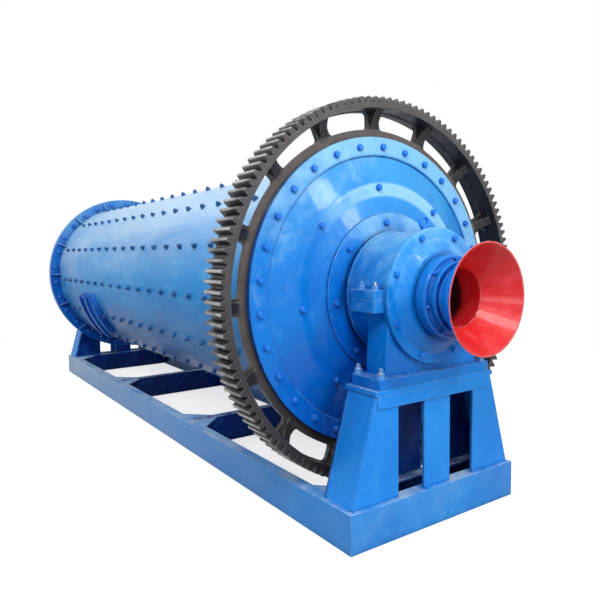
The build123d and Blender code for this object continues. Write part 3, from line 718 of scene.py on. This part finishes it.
def makeLinerNuts(size):
    draw = random.Random(size["seed"])
    build = emptyBuild()
    for row in range(size["rows"]):
        out = radial(size["firstAngle"] + 360 * row / size["rows"])
        for i in range(size["perRow"]):
            start = Vector((size["firstX"] - i * size["pitch"], 0, axisZ)) + out * size["from"]
            turn = anyTurn(draw)
            if touch("manhole_frame", start, -out) or touch("manhole_cover", start, -out):
                continue
            seat = touch("shell", start, -out)
            if seat:
                studNut(build, upright(seat[0], out, (1, 0, 0)), size, turn)
    finishPiece("liner_nuts", build, "nut", "drum")


headBolts = {"name": "head_bolts", "node": "_head", "count": 30, "radius": 0.815, "firstAngle": 90.8,
             "from": 3.0, "across": 0.030, "height": 0.014, "washer": 0.020, "washerThick": 0.004, "seed": 20}
ringBolts = {**headBolts, "name": "head_ring_bolts", "count": 8, "radius": 0.588, "firstAngle": -6.0,
             "seed": 21}
trunnionBolts = {**headBolts, "name": "trunnion_bolts", "node": "_trunnion", "count": 8, "radius": 0.393,
                 "firstAngle": -5.0, "from": 2.378, "seed": 22}
coverBolts = {"name": "outer_cover_bolts", "node": "_bearing_outer_cover", "count": 8, "radius": 0.317,
              "firstAngle": 22.5, "from": 3.0, "across": 0.027, "height": 0.012, "washer": 0.018,
              "washerThick": 0.003, "seed": 23}
collarBolts = {"name": "seal_collar_bolts", "node": "_seal_collar", "count": 7, "radius": 0.193,
               "firstAngle": -11.2, "from": 2.84, "across": 0.016, "height": 0.008, "washer": 0.0105,
               "washerThick": 0.002, "seed": 24}


def makeFlangeBolts(size):
    draw = random.Random(size["seed"])
    build = emptyBuild()
    for end, facing in ends.items():
        for i in range(size["count"]):
            out = radial(size["firstAngle"] + 360 * i / size["count"])
            start = Vector((facing * size["from"], 0, axisZ)) + out * size["radius"]
            seat = touch(end + size["node"], start, (-facing, 0, 0))
            turn = anyTurn(draw)
            if seat:
                hexBolt(build, upright(seat[0], seat[1], out), size, turn)
    body = "frame" if "bearing" in size["node"] else "drum"
    finishPiece(size["name"], build, "bolt", body)


# nuts behind the head bolts
flangeNuts = {**headBolts, "name": "flange_nuts", "node": "_shell_flange", "from": 0.0, "across": 0.032,
              "height": 0.018, "washer": 0.021, "stud": 0.010, "proud": 0.009, "threads": 2, "square": 0.9,
              "seed": 31}


def makeFlangeNuts(size):
    draw = random.Random(size["seed"])
    build = emptyBuild()
    for end, facing in ends.items():
        for i in range(size["count"]):
            out = radial(size["firstAngle"] + 360 * i / size["count"])
            start = Vector((size["from"], 0, axisZ)) + out * size["radius"]
            seat = touch(end + size["node"], start, (facing, 0, 0))
            turn = anyTurn(draw)
            if seat and abs(seat[1].x) > size["square"]:        # not on the slope of a rib
                studNut(build, upright(seat[0], (-facing, 0, 0), out), size, turn)
    finishPiece(size["name"], build, "bolt", "drum")


# the cap's studs stand on the split lugs, the base's on its foot
splitStuds = {"name": "split_studs", "node": "_bearing_cap", "y": 0.375, "x": (2.55, 2.65), "above": 1.3,
              "across": 0.030, "height": 0.020, "washer": 0.020, "washerThick": 0.004, "stud": 0.0095,
              "proud": 0.016, "threads": 4, "seed": 41}
footStuds = {"name": "foot_studs", "node": "_bearing_base", "y": 0.371, "x": (2.514, 2.685), "above": 0.9,
             "across": 0.036, "height": 0.026, "washer": 0.024, "washerThick": 0.005, "stud": 0.012,
             "proud": 0.020, "threads": 5, "seed": 42}


def makeHousingStuds(size):
    draw = random.Random(size["seed"])
    build = emptyBuild()
    for end, facing in ends.items():
        for side in (-1, 1):
            for x in size["x"]:
                seat = touch(end + size["node"], (facing * x, side * size["y"], size["above"]), (0, 0, -1))
                turn = anyTurn(draw)
                if seat:
                    studNut(build, upright(seat[0], (0, 0, 1), (1, 0, 0)), size, turn)
    finishPiece(size["name"], build, "steel", "frame")


# a lifting eye on the crown of each bearing cap
capEyes = {"x": 2.612, "above": 2.0, "collar": 0.020, "collarHeight": 0.016, "collarSides": 28, "sunk": 0.004,
           "collarEdge": ((1.0, 0.4), (0.9, 0.55)), "neck": 1.2, "middle": 0.042, "ring": 0.028, "bar": 0.008,
           "swell": 0.3, "steps": 40, "sides": 16}


def makeCapEyes(size):
    build = emptyBuild()
    collar, height, steps, sides = size["collar"], size["collarHeight"], size["steps"], size["sides"]
    for end, facing in ends.items():
        seat = touch(end + "_bearing_cap", (facing * size["x"], 0, size["above"]), (0, 0, -1))[0]
        edge = [(collar * out, height * up) for out, up in size["collarEdge"]]
        rings = [(collar, -size["sunk"]), *edge, (size["bar"] * size["neck"], height)]
        stack(build, upright(seat, (0, 0, 1), (1, 0, 0)), rings, size["collarSides"])
        first = len(build["points"])
        for i in range(steps):
            turn = 2 * math.pi * i / steps
            out = Vector((0, math.cos(turn), math.sin(turn)))
            bar = size["bar"] * (1 + size["swell"] * max(0.0, -math.sin(turn)))      # thicker at the collar
            for k in range(sides):
                around = 2 * math.pi * k / sides
                across = Vector((bar * math.sin(around), 0, size["middle"]))
                build["points"].append(seat + across + out * (size["ring"] + bar * math.cos(around)))
        for i in range(steps):
            for k in range(sides):
                here, there = first + i * sides, first + (i + 1) % steps * sides
                build["faces"].append((here + k, there + k, there + (k + 1) % sides, here + (k + 1) % sides))
    finishPiece("cap_lifting_eyes", build, "bolt", "frame", smoothAngle=50)


manholeStuds = {"across": 0.036, "height": 0.024, "washer": 0.024, "washerThick": 0.005, "stud": 0.012,
                "proud": 0.018, "threads": 4, "fromEnd": 0.032, "barWidth": 0.046, "from": 1.1, "lift": 0.2,
                "looks": 1440, "seed": 61}


def makeManholeStuds(size):
    draw = random.Random(size["seed"])
    build = emptyBuild()
    low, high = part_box("manhole_clamp_bars")
    for x in (low.x + size["barWidth"] / 2, high.x - size["barWidth"] / 2):
        hits = []        # the bar's outer face, found by looking in all round the shell
        for step in range(size["looks"]):
            out = radial(360 * step / size["looks"] - 180)
            seat = touch("manhole_clamp_bars", Vector((x, 0, axisZ)) + out * size["from"], -out)
            if seat:
                hits.append(seat)
        middle = hits[len(hits) // 2]
        along = (hits[-1][0] - hits[0][0]).normalized()
        for end, way in ((hits[0][0], 1), (hits[-1][0], -1)):
            start = end + along * way * size["fromEnd"] + middle[1] * size["lift"]
            seat = touch("manhole_clamp_bars", start, -middle[1])
            if seat:
                studNut(build, upright(seat[0], middle[1], along), size, anyTurn(draw))
    finishPiece("manhole_studs", build, "bolt", "drum")


makeLinerNuts(linerNuts)
for boltSet in (headBolts, ringBolts, trunnionBolts, coverBolts, collarBolts):
    makeFlangeBolts(boltSet)
makeFlangeNuts(flangeNuts)
makeHousingStuds(splitStuds)
makeHousingStuds(footStuds)
makeCapEyes(capEyes)
makeManholeStuds(manholeStuds)


# weld beads, a rippled round swept along each seam
beadRipple = {"sides": 7, "phase": 6, "turn": 2.4, "depth": 0.13, "uneven": 0.06, "start": 0.45, "swell": 0.2}


def bead(build, path, radius, draw, side):
    count = beadRipple["sides"]
    first = len(build["points"])
    phase = draw.uniform(0, beadRipple["phase"])
    for i, point in enumerate(path):
        ahead = (path[min(i + 1, len(path) - 1)] - path[max(i - 1, 0)]).normalized()
        x = (side - ahead * side.dot(ahead)).normalized()
        y = ahead.cross(x)
        taper = min(1.0, beadRipple["start"] + beadRipple["swell"] * min(i, len(path) - 1 - i))
        wave = beadRipple["depth"] * math.sin(phase + beadRipple["turn"] * i)
        size = radius * taper * (1 + wave + draw.uniform(-beadRipple["uneven"], beadRipple["uneven"]))
        for k in range(count):
            turn = 2 * math.pi * k / count
            build["points"].append(point + x * size * math.cos(turn) + y * size * math.sin(turn))
    skinRings(build, first, len(path), count)


def straight(start, end, step):
    count = max(2, round((end - start).length / step))
    return [start.lerp(end, i / count) for i in range(count + 1)]


pedestalWelds = {"radius": 0.006, "step": 0.004, "footLift": 0.001, "shortest": 4, "seam": 0.016,
                 "seamRadius": 0.0042, "seed": 71}
# where the rays that find the plates start and stop
plateRays = {"standOff": 0.1, "inset": 0.006, "height": 0.012, "behind": 0.008, "fromEnds": 0.004,
             "from": 1.2}


def makePedestalWelds(look, rays):
    draw = random.Random(look["seed"])
    build = emptyBuild()
    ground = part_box("left_rail")[1].z
    bottom = ground + look["footLift"]
    for end, facing in ends.items():
        for part, way in (("_pedestal_outer_plate", facing), ("_pedestal_inner_plate", -facing)):
            low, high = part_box(end + part)
            face = high.x if way > 0 else low.x
            run = []
            count = round((high.y - low.y) / look["step"])
            for i in range(count + 1):        # the foot of each plate, broken at its windows
                y = low.y + (high.y - low.y) * i / count
                inside = min(max(y, low.y + rays["inset"]), high.y - rays["inset"])
                start = (face + way * rays["standOff"], inside, ground + rays["height"])
                held = touch(end + part, start, (-way, 0, 0))
                if held:
                    run.append(Vector((face, y, bottom)))
                if run and (not held or i == count):
                    if len(run) >= look["shortest"]:
                        bead(build, run, look["radius"], draw, Vector((1, 0, 0)))
                    run = []
            seamX = face - way * look["seam"]
            for side in (-1, 1):        # the sloping seam between this plate and the side plate
                behind = face - way * rays["behind"]
                foot, head = (touch(end + part, (behind, side * rays["from"], z), (0, -side, 0))
                              for z in (low.z + rays["fromEnds"], high.z - rays["fromEnds"]))
                if foot and head:
                    path = straight(Vector((seamX, *foot[0].yz)), Vector((seamX, *head[0].yz)), look["step"])
                    bead(build, path, look["seamRadius"], draw, Vector((1, 0, 0)))
        low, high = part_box(end + "_pedestal_side_plates")
        for y in (low.y, high.y):
            path = straight(Vector((low.x, y, bottom)), Vector((high.x, y, bottom)), look["step"])
            bead(build, path, look["radius"], draw, Vector((0, 1, 0)))
    finishPiece("pedestal_welds", build, "plate", "frame", smoothAngle=80)


frameWelds = {"radius": 0.0045, "step": 0.0035, "flange": 0.075, "skipOuter": 3, "skipInner": 1, "seed": 81}


def makeFrameWelds(look):
    draw = random.Random(look["seed"])
    build = emptyBuild()
    railLow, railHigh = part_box("left_rail")
    outerY = max(abs(railLow.y), abs(railHigh.y))
    top, side = railHigh.z, Vector((0, 0, 1))
    for name in nodes:
        if name.endswith("_end_beam"):        # mitred corners
            low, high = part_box(name)
            outerX = max((low.x, high.x), key=abs)
            innerX = outerX - math.copysign(look["flange"], outerX)
            for way in (-1, 1):
                inner = Vector((innerX, way * (outerY - look["flange"]), top))
                path = straight(Vector((outerX, way * outerY, top)), inner, look["step"])
                bead(build, path[look["skipOuter"]:-look["skipInner"]], look["radius"], draw, side)
        elif name.endswith("_beam"):          # cross beams butted to the rails
            low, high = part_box(name)
            for y in (low.y, high.y):
                path = straight(Vector((low.x, y, top)), Vector((high.x, y, top)), look["step"])
                bead(build, path, look["radius"], draw, side)
    finishPiece("frame_welds", build, "rail", "frame", smoothAngle=80)


shellWelds = {"radius": 0.008, "steps": 720, "betweenRibs": 95, "rayLift": 0.03, "seed": 91}


def makeShellWelds(look):
    draw = random.Random(look["seed"])
    build = emptyBuild()
    low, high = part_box("shell")
    radius = (high.z - low.z) / 2
    start = Vector((0, 0, axisZ)) + radial(look["betweenRibs"]) * (radius + look["rayLift"])
    for end, facing in ends.items():
        seat = touch(end + "_shell_flange", start, (facing, 0, 0))
        middle = Vector((seat[0].x, 0, axisZ))
        path = [middle + radial(360 * i / look["steps"]) * radius for i in range(look["steps"] + 1)]
        bead(build, path, look["radius"], draw, Vector((1, 0, 0)))
    finishPiece("shell_welds", build, "drum", "drum", smoothAngle=80)


makePedestalWelds(pedestalWelds, plateRays)
makeFrameWelds(frameWelds)
makeShellWelds(shellWelds)


# floor, world and lights
def lookedAt(tree):        # what the eye, a reflection or glass shows, and not what lights the mill
    path = wire(tree, "ShaderNodeLightPath").outputs
    seen = calc(tree, "MAXIMUM", path["Is Camera Ray"], path["Is Glossy Ray"])
    return calc(tree, "MAXIMUM", seen, path["Is Transmission Ray"])


# the floor seen by the camera is part lit, which keeps the shadow, and part plain white
floorLook = {"size": 80.0, "shaded": (0.50, 0.50, 0.50, 1.0), "unshaded": (0.68, 0.68, 0.68, 1.0),
             "bounce": (0.13, 0.14, 0.16, 1.0), "fadeStart": 3.4, "fadeEnd": 6.0, "drop": 0.0005}


def makeFloor(look):
    half = look["size"] / 2
    mesh = bpy.data.meshes.new("studio_floor")
    corners = [(-half, -half, 0), (half, -half, 0), (half, half, 0), (-half, half, 0)]
    mesh.from_pydata(corners, [], [(0, 1, 2, 3)])
    floor = newObject("studio_floor", mesh)
    floor.location.z = cadBox[0].z - look["drop"]
    material = bpy.data.materials.new("studioFloor")
    tree = emptyTree(material)
    position = wire(tree, "ShaderNodeTexCoord").outputs["Object"]
    away = wire(tree, "ShaderNodeVectorMath", {0: position}, operation="LENGTH").outputs["Value"]
    far = remap(tree, away, look["fadeStart"], look["fadeEnd"])
    lit = wire(tree, "ShaderNodeBsdfDiffuse", {"Color": look["shaded"]}).outputs[0]
    glow = wire(tree, "ShaderNodeEmission", {"Color": look["unshaded"], "Strength": 1.0}).outputs[0]
    near = wire(tree, "ShaderNodeAddShader", {0: lit, 1: glow}).outputs[0]
    white = wire(tree, "ShaderNodeEmission", {"Color": (1, 1, 1, 1), "Strength": 1.0}).outputs[0]
    seen = wire(tree, "ShaderNodeMixShader", {0: far, 1: near, 2: white}).outputs[0]
    bounce = wire(tree, "ShaderNodeBsdfDiffuse", {"Color": look["bounce"]}).outputs[0]
    both = wire(tree, "ShaderNodeMixShader", {0: lookedAt(tree), 1: bounce, 2: seen}).outputs[0]
    wire(tree, "ShaderNodeOutputMaterial", {"Surface": both})
    mesh.materials.append(material)


skyLook = {"light": (0.86, 0.93, 1.0, 1.0), "strength": 0.25}


def makeSky(look):
    world = bpy.data.worlds.new("studioSky")
    bpy.context.scene.world = world
    tree = emptyTree(world)
    sky = {"Color": look["light"], "Strength": look["strength"]}
    light = wire(tree, "ShaderNodeBackground", sky).outputs[0]
    white = wire(tree, "ShaderNodeBackground", {"Color": (1, 1, 1, 1), "Strength": 1.0}).outputs[0]
    both = wire(tree, "ShaderNodeMixShader", {0: lookedAt(tree), 1: light, 2: white}).outputs[0]
    wire(tree, "ShaderNodeOutputWorld", {"Surface": both})


# white unless a colour is given; a fill brightens its side and shows in no reflection
lamps = {
    "key": {"at": (6.2, -3.4, 6.4), "to": (1.6, 0.0, 1.0), "size": 2.5, "watts": 308.0},
    "front": {"at": (8.5, -1.2, 1.3), "to": (2.5, 0.0, 1.0), "size": 2.5, "watts": 116.0, "fill": True},
    "window": {"at": (6.7, 1.0, 4.4), "to": (2.3, 0.0, 1.5), "size": 0.9, "watts": 75.0},        # on the head
    "pane": {"at": (6.5, 2.1, 3.2), "to": (2.3, -0.2, 1.6), "size": 0.6, "watts": 36.0},
    "streak": {"at": (5.9, -3.8, 1.6), "to": (2.95, 0.2, 1.2), "size": 0.8, "watts": 18.0},      # in the bell
    "overhead": {"at": (-1.0, -0.6, 8.0), "to": (-1.0, 0.0, 1.2), "size": 6.0, "watts": 110.0,
                 "color": (0.86, 0.95, 1.0)},
    "side": {"at": (-1.2, -7.2, 5.4), "to": (-0.8, 0.0, 1.0), "size": 4.0, "watts": 290.0,
             "color": (0.93, 0.98, 1.0)},
    "rear": {"at": (-8.0, 2.0, 3.4), "to": (-2.0, 0.0, 1.2), "size": 3.5, "watts": 330.0, "fill": True},
    "far": {"at": (-0.5, 9.0, 2.6), "to": (-0.5, 0.0, 1.0), "size": 4.5, "watts": 280.0, "fill": True},
}


def makeLamps(looks):
    for name, look in looks.items():
        lamp = bpy.data.lights.new(name, "AREA")
        lamp.shape = "SQUARE"
        lamp.size = look["size"]
        lamp.energy = look["watts"]
        lamp.color = look.get("color", (1.0, 1.0, 1.0))
        holder = newObject(name, lamp)
        holder.location = look["at"]
        holder.visible_glossy = not look.get("fill", False)
        aim = Vector(look["to"]) - Vector(look["at"])
        holder.rotation_euler = aim.to_track_quat("-Z", "Y").to_euler()


cameraLook = {"at": (4.79283, -2.28758, 1.44440), "yaw": 55.583, "pitch": -4.843, "roll": -0.836,
              "lens": 35.23, "sensor": 36.0, "sees": 200}


def makeCamera(look):
    yaw, pitch, roll = (math.radians(look[key]) for key in ("yaw", "pitch", "roll"))
    forward = Vector((-math.sin(yaw) * math.cos(pitch), math.cos(yaw) * math.cos(pitch), math.sin(pitch)))
    right = Vector((math.cos(yaw), math.sin(yaw), 0))
    up = right.cross(forward)
    side = right * math.cos(roll) + up * math.sin(roll)
    top = up * math.cos(roll) - right * math.sin(roll)
    lens = bpy.data.cameras.new("photoCamera")
    lens.lens = look["lens"]
    lens.sensor_width = look["sensor"]
    lens.clip_end = look["sees"]
    camera = newObject("photoCamera", lens)
    turn = Matrix((side, top, -forward)).transposed().to_4x4()
    camera.matrix_world = Matrix.Translation(Vector(look["at"])) @ turn
    bpy.context.scene.camera = camera


makeFloor(floorLook)
makeSky(skyLook)
makeLamps(lamps)
makeCamera(cameraLook)
bpy.context.scene.view_settings.view_transform = "Standard"
print("floor, lights and camera placed")
